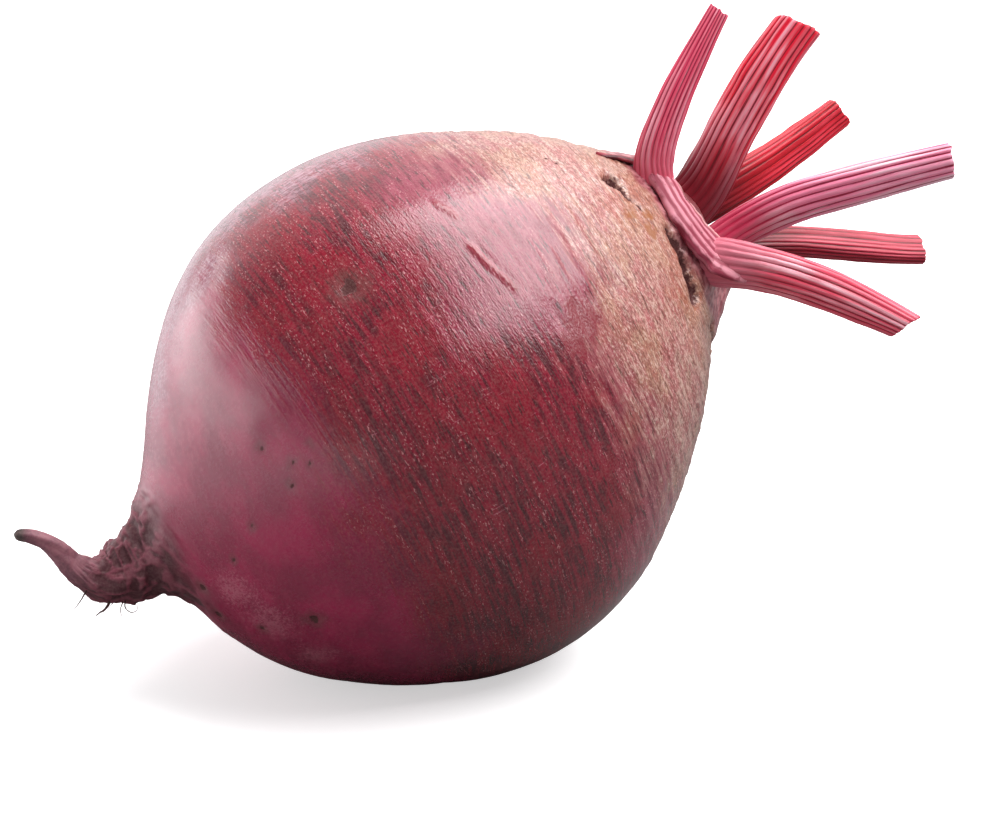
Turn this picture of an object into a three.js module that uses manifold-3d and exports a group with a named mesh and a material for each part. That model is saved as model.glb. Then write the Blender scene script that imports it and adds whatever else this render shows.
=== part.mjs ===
// A whole fresh beetroot as picked and trimmed: a globe-shaped root that runs out into a thin, kinked
// taproot, with six ribbed leaf stems cut short above its crown. It lies on its side, on a small flat spot.
// Millimetres, +Z up. The origin is the middle of the flat spot. The shapes are worked out in the beetroot's
// own frame first: z runs along its axis from taproot to crown, x is the side that ends up on top, and y
// faces the front.
import * as THREE from "three";
import { mergeVertices } from "three/addons/utils/BufferGeometryUtils.js";
import Module from "manifold-3d";

const wasm = await Module();
wasm.setup();

// Driving dimensions
const BULB_RADIUS = 40.5;
const LEAN_DEG = 26; // how far the crown end of the axis points up from the floor
const TURN_DEG = 20; // how far the crown is swung to the back
const ROLL_DEG = 155.7; // turn about the beetroot's own axis
const FLAT_DEPTH = 1.5; // how far the lowest bulge is pressed flat where it lies
const SEAT_SHIFT = [4.2, 2.1, 0]; // from the free shape's lowest point to the flat spot under its weight
const FULLNESS = 0.15; // how much further down the underside comes per millimetre that way
const FULL_BELOW = 3; // heights between which the underside runs out into the round flank
const ROUND_ABOVE = 32;
const FIT_GAP = 0.3; // clearance all round each stem's foot in its socket
const BULB_SIDES = 48;
const RINGS_PER_ROW = 2;
const STEM_SIDES = 36;
const STEM_RIBS = 12;
const RINGS_PER_STEM_POINT = 2;

// Outline of the root, from the middle of the crown to the tip of the taproot. Each row: place along the
// axis z, radius, and how far the section's middle lies off the axis in x and y.
const OUTLINE = [
  [47.2, 0.0, 2.6, 0.0],
  [47.3, 4.5, 2.6, 0.0],
  [47.9, 8.5, 2.6, 0.0],
  [48.2, 10.7, 2.7, 0.0],
  [46.7, 12.7, 2.7, 0.0],
  [43.7, 15.3, 2.6, 0.0],
  [40.2, 18.9, 2.4, 0.0],
  [36.0, 23.4, 1.8, 0.0],
  [31.0, 27.9, 1.1, 0.0],
  [24.0, 32.7, 0.3, 0.0],
  [16.0, 36.8, -0.2, 0.0],
  [7.0, 39.5, -0.2, 0.0],
  [-2.0, BULB_RADIUS, -0.1, 0.0],
  [-11.0, 39.8, 0.0, 0.0],
  [-19.0, 37.5, -0.3, 0.0],
  [-26.0, 33.6, -0.9, 0.0],
  [-32.0, 28.7, -1.7, 0.0],
  [-37.0, 23.5, -2.6, 0.0],
  [-41.0, 18.2, -2.8, 0.0],
  [-44.0, 13.6, -1.8, 0.0],
  [-46.3, 10.0, -0.2, 0.0],
  [-49.2, 6.9, 1.0, 0.3],
  [-52.6, 5.2, 1.6, 0.8],
  [-55.4, 4.0, 2.1, 1.4],
  [-57.6, 2.9, 3.6, 2.0],
  [-58.9, 2.05, 6.0, 2.6],
  [-59.7, 1.6, 8.8, 3.2],
  [-60.8, 1.25, 11.2, 3.6],
  [-62.2, 1.05, 13.0, 3.6],
  [-63.7, 0.8, 14.2, 3.4],
  [-64.2, 0.0, 14.6, 3.3],
];
const LAST_ROW = OUTLINE.length - 1;
const CROWN_X = OUTLINE[0][2];
const RIM_ROW = 3; // the row that runs along the crown's rim
const RIM_SPREAD = 0.75; // rows over which the old leaf bases rise to it
const TAIL_STARTS = 20; // the row where the sections begin to follow the taproot's bends
const TAIL_BLEND = 2.5; // rows over which they do

// Trimmed bases of older leaves, scales that stand up from the crown's rim: the angle round the axis, the
// angle that each covers, and its height.
const OLD_BASES = [
  { at: 26, covers: 38, height: 2.4 },
  { at: 84, covers: 34, height: 1.6 },
  { at: 134, covers: 32, height: 1.5 },
  { at: 170, covers: 36, height: 1.3 },
  { at: 206, covers: 34, height: 2.2 },
  { at: 243, covers: 38, height: 2.1 },
  { at: 281, covers: 36, height: 2.8 },
  { at: 318, covers: 36, height: 2.2 },
];

// Each stem: its path from the foot in the crown to the cut end, half its width along the way, its
// thickness as a share of its width, and the slope of its cut.
const STEMS = [
  {
    name: "stem_1",
    path: [[7.6, 10.6, 43.4], [9.8, 12.0, 45.8], [13.0, 13.2, 47.4], [16.6, 14.2, 49.6], [21.2, 15.7, 55.0],
      [27.4, 17.8, 64.8]],
    halfWidth: [4.6, 4.4, 3.6, 2.9, 2.3, 1.6],
    thickness: 0.72,
    cutSlope: 0.1,
  },
  {
    name: "stem_2",
    path: [[4.4, 4.8, 44.0], [5.8, 6.2, 51.0], [11.1, 9.6, 58.5], [15.1, 11.9, 65.8], [20.1, 14.0, 75.5]],
    halfWidth: [4.0, 3.6, 3.8, 3.9, 3.6],
    thickness: 0.86,
    cutSlope: -0.25,
  },
  {
    name: "stem_3",
    path: [[5.6, -6.2, 44.0], [4.5, -7.0, 53.0], [4.4, -9.4, 64.6], [5.0, -11.9, 73.3], [5.9, -13.7, 82.4]],
    halfWidth: [3.2, 2.8, 3.0, 3.0, 2.7],
    thickness: 0.88,
    cutSlope: 0.15,
  },
  {
    name: "stem_4",
    path: [[-2.4, 1.0, 44.0], [-1.3, 0.6, 53.0], [-1.9, 2.8, 63.2], [-4.9, 5.6, 73.4], [-9.0, 8.8, 86.7]],
    halfWidth: [4.0, 4.0, 4.3, 4.2, 3.7],
    thickness: 0.9,
    cutSlope: 0.08,
  },
  {
    name: "stem_5",
    path: [[-3.6, -7.6, 44.0], [-3.4, -7.4, 54.0], [-7.5, -7.6, 62.7], [-13.3, -8.0, 71.5],
      [-19.3, -8.5, 80.4]],
    halfWidth: [3.4, 2.7, 2.8, 2.8, 2.6],
    thickness: 0.85,
    cutSlope: 0.1,
  },
  {
    name: "stem_6",
    path: [[-2.4, 11.2, 43.6], [-5.0, 12.8, 46.8], [-8.4, 14.8, 50.4], [-12.6, 17.0, 54.0],
      [-18.7, 19.4, 58.4], [-27.2, 21.2, 63.7]],
    halfWidth: [5.0, 4.6, 3.7, 3.3, 3.1, 2.4],
    thickness: 0.74,
    cutSlope: 0.5,
  },
];
const RIB_DEPTH = 0.14; // depth of the grooves as a share of the stem's radius
const INNER_FLATTENING = 0.7; // the side that faces the crown's middle is this much thinner
const CHANNEL_DEPTH = 0.22; // and has a shallow channel

const radians = THREE.MathUtils.degToRad;
const smooth = (low, high, value) => THREE.MathUtils.smoothstep(value, low, high);
const smoothCurve = (points) => new THREE.CatmullRomCurve3(points, false, "catmullrom", 0.5);

// The outline between its rows: the middle of the section, and its radius.
const centreline = smoothCurve(OUTLINE.map(([z, , x, y]) => new THREE.Vector3(x, y, z)));
const radii = smoothCurve(OUTLINE.map(([, radius], row) => new THREE.Vector3(row, radius, 0)));

// Shallow lobes and dents of the bulb, waves round the crown's rim, and creases and rings of the taproot, as
// a factor on the section's radius at angle a round the axis.
function relief(a, z, radius) {
  const lobes = 0.005 * Math.cos(2 * a - 0.5) + 0.005 * Math.cos(3 * a + 1.1 + z / 45);
  const dents = 0.004 * Math.sin(5 * a + z / 11) + 0.003 * Math.sin(7 * a - z / 7 + 2);
  const bulb = (lobes + dents) * smooth(-50, -42, z) * smooth(6, 16, radius);
  const rim = 0.03 * Math.sin(9 * a + 0.7) * smooth(41, 45, z) * smooth(8, 13, radius);
  const creases = 0.06 * Math.sin(5 * a + 0.4 * z) * (1 - smooth(-49, -44, z));
  const rings = 0.05 * Math.sin(2.1 * z + 2 * a) * (1 - smooth(-53, -47, z)) * smooth(1, 2.5, radius);
  return 1 + bulb + rim + creases + rings;
}

// How far the old leaf bases raise the crown's rim at angle a: a rounded scale for each of them.
function rimHeight(a, row) {
  const degrees = THREE.MathUtils.radToDeg(a);
  const scales = OLD_BASES.map(({ at, covers, height }) => {
    const off = THREE.MathUtils.euclideanModulo(degrees - at + 180, 360) - 180;
    return height * Math.sqrt(Math.max(0, 1 - (off / (covers / 2)) ** 2));
  });
  return Math.max(...scales) * Math.exp(-(((row - RIM_ROW) / RIM_SPREAD) ** 2));
}

// A closed surface through ring after ring of equally many points, with a single point at both ends.
function skinned(first, rings, last) {
  const points = [first, ...rings.flat(), last];
  const sides = rings[0].length;
  const at = (ring, side) => 1 + ring * sides + (side % sides);
  const faces = [];
  for (let side = 0; side < sides; side++) {
    faces.push(0, at(0, side), at(0, side + 1));
    for (let ring = 0; ring + 1 < rings.length; ring++) {
      faces.push(at(ring, side), at(ring + 1, side), at(ring + 1, side + 1));
      faces.push(at(ring, side), at(ring + 1, side + 1), at(ring, side + 1));
    }
    faces.push(points.length - 1, at(rings.length - 1, side + 1), at(rings.length - 1, side));
  }
  const geometry = new THREE.BufferGeometry().setFromPoints(points);
  geometry.setIndex(faces);
  return geometry;
}

// The root's surface, swept along its centreline. Sections stay square to the axis in the bulb and turn
// with the path in the taproot. If a seat is given, the underside is fuller towards its middle, under the
// weight, and no point passes its floor.
function rootGeometry(seat) {
  const rings = [];
  const across = new THREE.Vector3(1, 0, 0);
  for (let step = 1; step < LAST_ROW * RINGS_PER_ROW; step++) {
    const row = step / RINGS_PER_ROW;
    const middle = centreline.getPoint(row / LAST_ROW);
    const radius = radii.getPoint(row / LAST_ROW).y;
    const path = centreline.getTangent(row / LAST_ROW);
    const follow = smooth(TAIL_STARTS, TAIL_STARTS + TAIL_BLEND, row);
    const along = new THREE.Vector3(0, 0, -1).lerp(path, follow).normalize();
    across.addScaledVector(along, -across.dot(along)).normalize();
    const sideways = new THREE.Vector3().crossVectors(across, along);
    const ring = [];
    for (let side = 0; side < BULB_SIDES; side++) {
      const a = (2 * Math.PI * side) / BULB_SIDES;
      const reach = radius * relief(a, middle.z, radius);
      const point = middle.clone();
      point.addScaledVector(across, reach * Math.cos(a));
      point.addScaledVector(sideways, reach * Math.sin(a));
      point.addScaledVector(along, -rimHeight(a, row));
      ring.push(point);
    }
    rings.push(ring);
  }
  if (seat) {
    for (const point of rings.flat()) {
      const height = seat.floor.distanceToPoint(point);
      const towards = Math.max(0, point.clone().sub(seat.lowest).dot(seat.way));
      const fuller = FULLNESS * towards * (1 - smooth(FULL_BELOW, ROUND_ABOVE, height));
      point.addScaledVector(seat.floor.normal, Math.max(0, height - fuller) - height);
    }
  }
  return skinned(centreline.getPoint(0), rings, centreline.getPoint(1));
}

// A leaf stem swept along its path. The side away from the crown's middle is rounded, the other side is
// flatter with a shallow channel, and rounded ribs with sharp grooves between them run its whole length.
// With grow it is plain and larger all round, the shape of its socket.
function stemGeometry({ path, halfWidth, thickness, cutSlope }, grow = 0) {
  const foot = new THREE.Vector3(...path[0]);
  const curve = smoothCurve(path.map((point) => new THREE.Vector3(...point).sub(foot)));
  const widths = smoothCurve(halfWidth.map((width, i) => new THREE.Vector3(i, width, 0)));
  const outward = new THREE.Vector3(foot.x - CROWN_X, foot.y, 0).normalize();
  const steps = (path.length - 1) * RINGS_PER_STEM_POINT;
  const start = curve.getPoint(0).addScaledVector(curve.getTangent(0), -grow);
  const rings = [];
  for (let step = 0; step <= steps; step++) {
    const t = step / steps;
    const along = curve.getTangent(t);
    const middle = step === 0 ? start : curve.getPoint(t);
    const back = outward.clone().addScaledVector(along, -outward.dot(along)).normalize();
    const side = new THREE.Vector3().crossVectors(back, along);
    const half = widths.getPoint(t).y;
    const ribDepth = grow ? 0 : RIB_DEPTH * smooth(0, 0.35, t);
    const slope = step === steps ? cutSlope : 0;
    const ring = [];
    for (let k = 0; k < STEM_SIDES; k++) {
      const a = (2 * Math.PI * (k + 0.5)) / STEM_SIDES;
      const rib = 1 - ribDepth * (1 - Math.abs(Math.cos((a * STEM_RIBS) / 2)));
      const inner = Math.cos(a) < 0 ? INNER_FLATTENING : 1;
      const channel = 1 - CHANNEL_DEPTH * Math.max(0, -Math.cos(a)) ** 6;
      const wide = (half * rib + grow) * Math.sin(a);
      const thick = (half * thickness * rib * inner * channel + grow) * Math.cos(a);
      const point = middle.clone();
      point.addScaledVector(side, wide);
      point.addScaledVector(back, thick);
      point.addScaledVector(along, slope * wide);
      ring.push(point);
    }
    rings.push(ring);
  }
  return skinned(start.clone(), rings, curve.getPoint(1));
}

function toSolid(geometry) {
  const bare = new THREE.BufferGeometry();
  bare.setAttribute("position", geometry.getAttribute("position"));
  bare.setIndex(geometry.getIndex());
  const merged = mergeVertices(bare);
  return new wasm.Manifold(new wasm.Mesh({
    numProp: 3,
    vertProperties: merged.getAttribute("position").array,
    triVerts: new Uint32Array(merged.getIndex().array),
  }));
}

function toGeometry(solid) {
  const mesh = solid.getMesh();
  const geometry = new THREE.BufferGeometry();
  geometry.setAttribute("position", new THREE.BufferAttribute(mesh.vertProperties, 3));
  geometry.setIndex(new THREE.BufferAttribute(mesh.triVerts, 1));
  return geometry;
}

const skin = new THREE.MeshStandardMaterial({ color: 0x6b1f38, roughness: 0.45, metalness: 0 });
const stemSkin = new THREE.MeshStandardMaterial({ color: 0xb4213f, roughness: 0.4, metalness: 0 });

function named(name, geometry, material, position = [0, 0, 0]) {
  geometry.computeVertexNormals();
  const mesh = new THREE.Mesh(geometry, material);
  mesh.name = name;
  mesh.position.set(...position);
  return mesh;
}

// How it lies: rolled about its own axis, laid over, then turned on the floor.
const rolled = new THREE.Group();
rolled.rotation.z = radians(ROLL_DEG);
const laid = new THREE.Group().add(rolled);
laid.rotation.y = radians(90 - LEAN_DEG);
const beetroot = new THREE.Group().add(laid);
beetroot.rotation.z = radians(TURN_DEG);
beetroot.updateMatrixWorld(true);

// The seat in the beetroot's own frame: its floor is a plane square to "up", FLAT_DEPTH above the free
// shape's lowest point, and its middle lies under the weight. That middle is the origin.
const toOwnFrame = rolled.matrixWorld.clone().invert();
const up = new THREE.Vector3(0, 0, 1).transformDirection(toOwnFrame);
const free = rootGeometry(null).getAttribute("position");
const pointAt = (_, i) => new THREE.Vector3().fromBufferAttribute(free, i);
const freePoints = Array.from({ length: free.count }, pointAt);
const lowest = freePoints.reduce((low, point) => (point.dot(up) < low.dot(up) ? point : low));
const shift = new THREE.Vector3(...SEAT_SHIFT).applyMatrix4(toOwnFrame);
const middle = lowest.clone().addScaledVector(up, FLAT_DEPTH).add(shift);
const seat = { lowest, way: shift.clone().normalize(), floor: new THREE.Plane(up, -middle.dot(up)) };
beetroot.position.copy(middle.clone().applyMatrix4(rolled.matrixWorld)).negate();

// The root with a socket for each stem's foot, and the stems.
let rootSolid = toSolid(rootGeometry(seat));
for (const stem of STEMS) {
  const socket = toSolid(stemGeometry(stem, FIT_GAP)).translate(stem.path[0]);
  rootSolid = rootSolid.subtract(socket);
}
rolled.add(named("root", toGeometry(rootSolid), skin));
for (const stem of STEMS) {
  rolled.add(named(stem.name, stemGeometry(stem), stemSkin, stem.path[0]));
}

export default beetroot;
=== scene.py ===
# Looks of a whole fresh beetroot that lies on its side: root with corky crown shoulder and taproot, six ribbed
# leaf stems cut short, scraps of old leaf bases and fine rootlets. The shapes are worked out in millimetres in
# the beetroot's own frame (z along its axis towards the crown, x the side that ends up on top, y the front)
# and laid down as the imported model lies.
import math

import bpy
import numpy as np
from mathutils import Matrix, Vector


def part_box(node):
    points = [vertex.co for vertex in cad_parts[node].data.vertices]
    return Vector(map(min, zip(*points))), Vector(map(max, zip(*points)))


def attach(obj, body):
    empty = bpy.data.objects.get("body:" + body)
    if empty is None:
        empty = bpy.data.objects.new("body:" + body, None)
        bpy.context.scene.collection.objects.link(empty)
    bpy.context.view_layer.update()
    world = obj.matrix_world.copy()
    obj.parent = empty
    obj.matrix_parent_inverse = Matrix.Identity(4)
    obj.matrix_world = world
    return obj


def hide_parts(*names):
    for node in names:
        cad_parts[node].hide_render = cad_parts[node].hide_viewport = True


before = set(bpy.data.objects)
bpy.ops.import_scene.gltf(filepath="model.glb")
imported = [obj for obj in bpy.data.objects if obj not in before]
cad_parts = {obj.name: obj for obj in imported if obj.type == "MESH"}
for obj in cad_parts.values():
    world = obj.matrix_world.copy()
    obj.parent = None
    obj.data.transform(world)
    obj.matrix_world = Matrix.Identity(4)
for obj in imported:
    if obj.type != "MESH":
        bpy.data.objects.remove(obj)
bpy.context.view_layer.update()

# Driving dimensions, in millimetres and degrees
MM = 0.001
BULB_RADIUS = 40.5
LEAN_DEG = 26
TURN_DEG = 20
ROLL_DEG = 155.7
ROOT_ROWS = 380
ROOT_SIDES = 250
SEAT_SHIFT = (4.2, 2.1)
FULLNESS = 0.15
FULL_BELOW = 3
ROUND_ABOVE = 32
STEM_RIBS = 18
STEM_SIDES = 144
STEM_ROWS = 80
CAP_ROWS = 8
BAND_SIDES = 72
BAND_ROWS = 150
ROOTLET_SIDES = 8
ROOTLET_ROWS = 40
OUTLINE_STEPS = 6001
SHEATH_WAVES = 64

# Outline of the root from the crown's middle to the taproot's tip: axis z, radius, offset in x and y.
OUTLINE = np.array([
    [47.2, 0.0, 2.6, 0.0],
    [47.3, 4.5, 2.6, 0.0],
    [47.9, 8.5, 2.6, 0.0],
    [48.2, 10.7, 2.7, 0.0],
    [46.7, 12.7, 2.7, 0.0],
    [43.7, 15.3, 2.6, 0.0],
    [40.2, 18.9, 2.4, 0.0],
    [36.0, 23.4, 1.8, 0.0],
    [31.0, 27.9, 1.1, 0.0],
    [24.0, 32.7, 0.3, 0.0],
    [16.0, 36.8, -0.2, 0.0],
    [7.0, 39.5, -0.2, 0.0],
    [-2.0, BULB_RADIUS, -0.1, 0.0],
    [-11.0, 39.8, 0.0, 0.0],
    [-19.0, 37.5, -0.3, 0.0],
    [-26.0, 33.6, -0.9, 0.0],
    [-32.0, 28.7, -1.7, 0.0],
    [-37.0, 23.5, -2.6, 0.0],
    [-41.0, 18.2, -2.8, 0.0],
    [-44.0, 13.6, -1.8, 0.0],
    [-46.3, 10.0, -0.2, 0.0],
    [-49.2, 6.9, 1.0, 0.3],
    [-52.6, 5.2, 1.6, 0.8],
    [-55.4, 4.0, 2.1, 1.4],
    [-57.6, 2.9, 3.6, 2.0],
    [-58.9, 2.05, 6.0, 2.6],
    [-59.7, 1.6, 8.8, 3.2],
    [-60.8, 1.25, 11.2, 3.6],
    [-62.2, 1.05, 13.0, 3.6],
    [-63.7, 0.8, 14.2, 3.4],
    [-64.2, 0.0, 14.6, 3.3],
])
LAST_ROW = len(OUTLINE) - 1
CROWN_X = OUTLINE[0, 2]
RIM_ROW = 3
RIM_SPREAD = 0.75
TAIL_STARTS = 20
TAIL_BLEND = 2.5

# Trimmed bases of older leaves on the crown's rim: angle round the axis, angle covered, height.
OLD_BASES = [
    (24, 36, 1.6),
    (84, 34, 0.3),
    (134, 32, 1.5),
    (170, 36, 1.3),
    (206, 34, 2.2),
    (243, 38, 2.1),
    (281, 36, 2.8),
    (318, 36, 2.2),
]

# Marks on the skin, by axis z and angle round the axis. Welts and crevices follow lines, with half width and
# height or depth. Pits, holes and dents have half width and depth. Bruises, scuffs and rusty spots have a half
# width alone.
WELTS = [
    ([(10.9, 66), (11.6, 72), (12.9, 79)], 0.42, 0.34),
    ([(10.7, 52), (11.6, 55), (12.2, 58)], 0.40, 0.30),
    ([(-17.0, 208), (-16.2, 216), (-15.6, 222)], 0.40, 0.25),
    ([(15.0, 236), (15.6, 246)], 0.36, 0.25),
]
PITS = [
    (-6.9, 61, 1.5, 0.45),
    (-45.0, 118, 0.7, 0.30),
    (-44.8, 144, 0.8, 0.30),
    (-40.7, 136, 0.6, 0.20),
    (-34.2, 129, 0.9, 0.25),
    (-29.0, 76, 0.5, 0.12),
    (-26.6, 85, 0.5, 0.14),
    (-24.8, 88, 0.35, 0.12),
    (-28.2, 89, 0.45, 0.12),
    (-23.2, 84, 0.35, 0.10),
    (-35.4, 91, 0.5, 0.12),
    (-39.7, 98, 0.45, 0.12),
    (-22.0, 205, 1.2, 0.40),
    (6.0, 300, 1.4, 0.35),
    (-33.0, 262, 0.8, 0.25),
]
HOLES = [(37.4, 57, 1.6, 2.2), (38.2, 61, 0.9, 1.4), (39.0, 196, 0.9, 1.3), (38.6, 288, 0.9, 1.4)]
CREVICES = [
    ([(41.0, 88), (41.3, 96), (41.4, 101), (41.0, 105)], 0.95, 1.6),
    ([(41.0, 105), (40.9, 109)], 0.50, 1.1),
    ([(40.9, 110), (40.5, 115), (39.6, 121)], 1.25, 2.2),
    ([(37.7, 63), (38.3, 69), (38.9, 76)], 0.32, 0.6),
    ([(30.6, 43), (31.4, 47)], 0.25, 0.5),
    ([(41.2, 148), (40.8, 160), (41.2, 172)], 0.7, 1.4),
    ([(40.8, 208), (41.2, 220), (40.7, 234)], 0.8, 1.5),
    ([(41.2, 258), (40.8, 272)], 0.6, 1.2),
    ([(41.0, 302), (40.8, 314), (41.3, 326)], 0.7, 1.4),
]
BRUISES = [(19.6, 93, 3.0), (16.4, 97, 2.0), (22.0, 186, 3.4), (-8.0, 232, 4.0)]
SCUFFS = [(-41.5, 112, 4.5), (-39.5, 132, 5.0), (-36.0, 150, 4.0), (-30.0, 222, 6.0), (-10.0, 318, 6.0)]
RUST = [(36.4, 75, 1.3), (39.0, 77, 1.2), (38.0, 84, 1.5), (39.6, 205, 1.6), (38.4, 316, 1.4)]
DENTS = [
    (-48.2, 178, 3.3, 3.4),
    (-20.0, 27, 3.2, 0.5),
    (-27.0, 78, 3.0, 0.15),
    (-12.0, 150, 5.0, 0.5),
    (2.0, 262, 4.5, 0.5),
]

# Stems: path from foot to cut, half widths, thickness as a share of width, slope of the cut.
STEMS = {
    "stem_1": dict(
        path=[[7.6, 10.6, 42.6], [10.2, 11.6, 44.4], [13.4, 12.6, 45.8], [16.8, 14.0, 49.3],
              [21.3, 15.8, 55.4], [27.4, 17.8, 64.8]],
        half_width=[3.2, 3.1, 3.0, 2.8, 2.4, 1.7], thickness=0.72, cut_slope=0.1),
    "stem_2": dict(
        path=[[4.4, 4.8, 44.0], [5.8, 6.2, 51.0], [11.1, 9.6, 58.5], [15.1, 11.9, 65.8], [20.1, 14.0, 75.5]],
        half_width=[4.6, 4.2, 3.9, 3.9, 3.6], thickness=0.86, cut_slope=-0.25),
    "stem_3": dict(
        path=[[5.6, -6.2, 44.0], [4.5, -7.0, 53.0], [4.4, -9.4, 64.6], [5.0, -11.9, 73.3],
              [5.9, -13.7, 82.4]],
        half_width=[3.7, 3.6, 3.3, 3.0, 2.7], thickness=0.88, cut_slope=0.15),
    "stem_4": dict(
        path=[[-2.4, 1.0, 44.0], [-1.3, 0.6, 53.0], [-1.9, 2.8, 63.2], [-4.9, 5.6, 73.4], [-9.0, 8.8, 86.7]],
        half_width=[4.0, 4.0, 4.3, 4.2, 3.7], thickness=0.9, cut_slope=0.08),
    "stem_5": dict(
        path=[[-3.6, -7.6, 44.0], [-3.4, -7.4, 54.0], [-7.5, -7.6, 62.7], [-13.3, -8.0, 71.5],
              [-19.3, -8.5, 80.4]],
        half_width=[3.4, 2.7, 2.8, 2.8, 2.6], thickness=0.85, cut_slope=0.1),
    "stem_6": dict(
        path=[[-2.4, 11.2, 43.6], [-5.0, 12.8, 46.8], [-8.4, 14.8, 50.4], [-12.6, 17.0, 54.0],
              [-18.7, 19.4, 58.4], [-27.2, 21.2, 63.7]],
        half_width=[3.9, 3.8, 3.5, 3.3, 3.1, 2.4], thickness=0.74, cut_slope=0.5),
}
RIB_DEPTH = 0.085
INNER_FLATTENING = 0.7
CHANNEL_DEPTH = 0.22


def smooth(low, high, value):
    """0 below low, 1 above high, and an S-shaped rise between them."""
    share = np.clip((np.asarray(value, float) - low) / (high - low), 0, 1)
    return share * share * (3 - 2 * share)


def unit(vectors):
    """Each vector divided by its own length."""
    return vectors / np.maximum(np.linalg.norm(vectors, axis=-1, keepdims=True), 1e-12)


def through(points, at):
    """Catmull-Rom spline through the points, at places counted in points: each span is the cubic whose
    slopes at its ends are half the step between the neighbours. The ends are carried on in a straight
    line."""
    points = np.asarray(points, float)
    points = points.reshape(len(points), -1)
    padded = np.vstack([2 * points[0] - points[1], points, 2 * points[-1] - points[-2]])
    span = np.clip(np.floor(at).astype(int), 0, len(points) - 2)
    u = (np.asarray(at) - span)[:, None]
    before, start, end, after = (padded[span + k] for k in range(4))
    return 0.5 * (2 * start + (end - before) * u + (2 * before - 5 * start + 4 * end - after) * u ** 2
                  + (3 * start - before - 3 * end + after) * u ** 3)


def lattice(cells, seed):
    """Repeatable random numbers from 0 to 1 at whole-numbered places: the place's three numbers and the
    seed are each multiplied by a large odd number, added, and their bits mixed."""
    mixed = (cells[..., 0] * 374761393 + cells[..., 1] * 668265263 + cells[..., 2] * 2147483629
             + seed * 1274126177) & 0xFFFFFFFF
    mixed = ((mixed ^ (mixed >> 13)) * 1274126177) & 0xFFFFFFFF
    return ((mixed ^ (mixed >> 16)) & 0xFFFFFF) / float(0xFFFFFF)


def noise(points, seed=0, octaves=1):
    """Smooth noise from -1 to 1: random numbers at the eight corners of the unit cell round each point,
    blended with S-shaped weights. Each further octave is twice as fine and half as strong."""
    total = 0
    for octave in range(octaves):
        scaled = points * 2 ** octave + 17.3 * octave
        cell = np.floor(scaled).astype(np.int64)
        inside = scaled - cell
        inside = inside * inside * (3 - 2 * inside)
        value = 0
        for corner in np.ndindex(2, 2, 2):
            weight = np.prod(np.where(corner, inside, 1 - inside), axis=-1)
            value = value + weight * lattice(cell + np.array(corner), seed + octave)
        total = total + (2 * value - 1) * 0.5 ** octave
    return total


# How the beetroot lies: rolled about its axis, laid over, turned on the floor.
LIE = np.array(Matrix.Rotation(math.radians(TURN_DEG), 3, "Z")
               @ Matrix.Rotation(math.radians(90 - LEAN_DEG), 3, "Y")
               @ Matrix.Rotation(math.radians(ROLL_DEG), 3, "Z"))


def relief(a, z, radius):
    """Factor on the section's radius at angle a: two slow lobes and two finer dents in the bulb, nine waves
    round the crown's rim, five creases along the taproot that wind slowly, and rings across it."""
    lobes = 0.005 * np.cos(2 * a - 0.5) + 0.005 * np.cos(3 * a + 1.1 + z / 45)
    dents = 0.004 * np.sin(5 * a + z / 11) + 0.003 * np.sin(7 * a - z / 7 + 2)
    bulb = (lobes + dents) * smooth(-50, -42, z) * smooth(6, 16, radius)
    rim = 0.03 * np.sin(9 * a + 0.7) * smooth(41, 45, z) * smooth(8, 13, radius)
    creases = 0.06 * np.sin(5 * a + 0.4 * z) * (1 - smooth(-49, -44, z))
    rings = 0.05 * np.sin(2.1 * z + 2 * a) * (1 - smooth(-53, -47, z)) * smooth(1, 2.5, radius)
    return 1 + bulb + rim + creases + rings


def rim_height(a, row):
    """How far the old leaf bases raise the rim: the highest of their half-round scales at angle a, fading
    with the square of the distance in rows from the rim."""
    degrees = np.degrees(a)
    scales = [height * np.sqrt(np.maximum(0, 1 - (((degrees - at + 180) % 360 - 180) / (covers / 2)) ** 2))
              for at, covers, height in OLD_BASES]
    return np.max(scales, axis=0) * np.exp(-((row - RIM_ROW) / RIM_SPREAD) ** 2)


def root_frame(rows):
    """Middle, radius and the section's two directions and normal for each row. The section is square to the
    axis in the bulb and turns to be square to the path along the taproot."""
    outline = through(OUTLINE, rows)
    middle = outline[:, [2, 3, 0]]
    path = unit(through(OUTLINE, rows + 0.02)[:, [2, 3, 0]] - through(OUTLINE, rows - 0.02)[:, [2, 3, 0]])
    follow = smooth(TAIL_STARTS, TAIL_STARTS + TAIL_BLEND, rows)[:, None]
    along = unit((1 - follow) * np.array([0.0, 0.0, -1.0]) + follow * path)
    across = unit(np.array([1.0, 0.0, 0.0]) - along[:, :1] * along)
    return middle, outline[:, 1], across, np.cross(across, along), along


def root_base(rows, angles):
    """The root's plain surface as in the solid: section by section, a circle whose radius is changed by
    relief(), with the rim raised against the path's direction by rim_height()."""
    middle, radius, across, sideways, along = root_frame(rows)
    a, row = np.meshgrid(angles, rows)
    reach = radius[:, None] * relief(a, middle[:, 2:3], radius[:, None])
    ring = across[:, None] * np.cos(a)[..., None] + sideways[:, None] * np.sin(a)[..., None]
    return middle[:, None] + reach[..., None] * ring - along[:, None] * rim_height(a, row)[..., None]


def row_at(z):
    """The row of the outline at axis height z, for the bulb below the rim."""
    body = OUTLINE[4:22]
    return 4 + np.interp(-np.asarray(z, float), -body[:, 0], np.arange(len(body)))


def mark_points(places):
    """Points on the plain surface at the given (z, angle) places."""
    return np.array([root_base(row_at([z]), np.radians([degrees]))[0, 0] for z, degrees in places])


def distance_from(points, z, degrees):
    """Straight distance of each point from the given place on the plain surface."""
    return np.linalg.norm(points - mark_points([(z, degrees)])[0], axis=-1)


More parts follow.
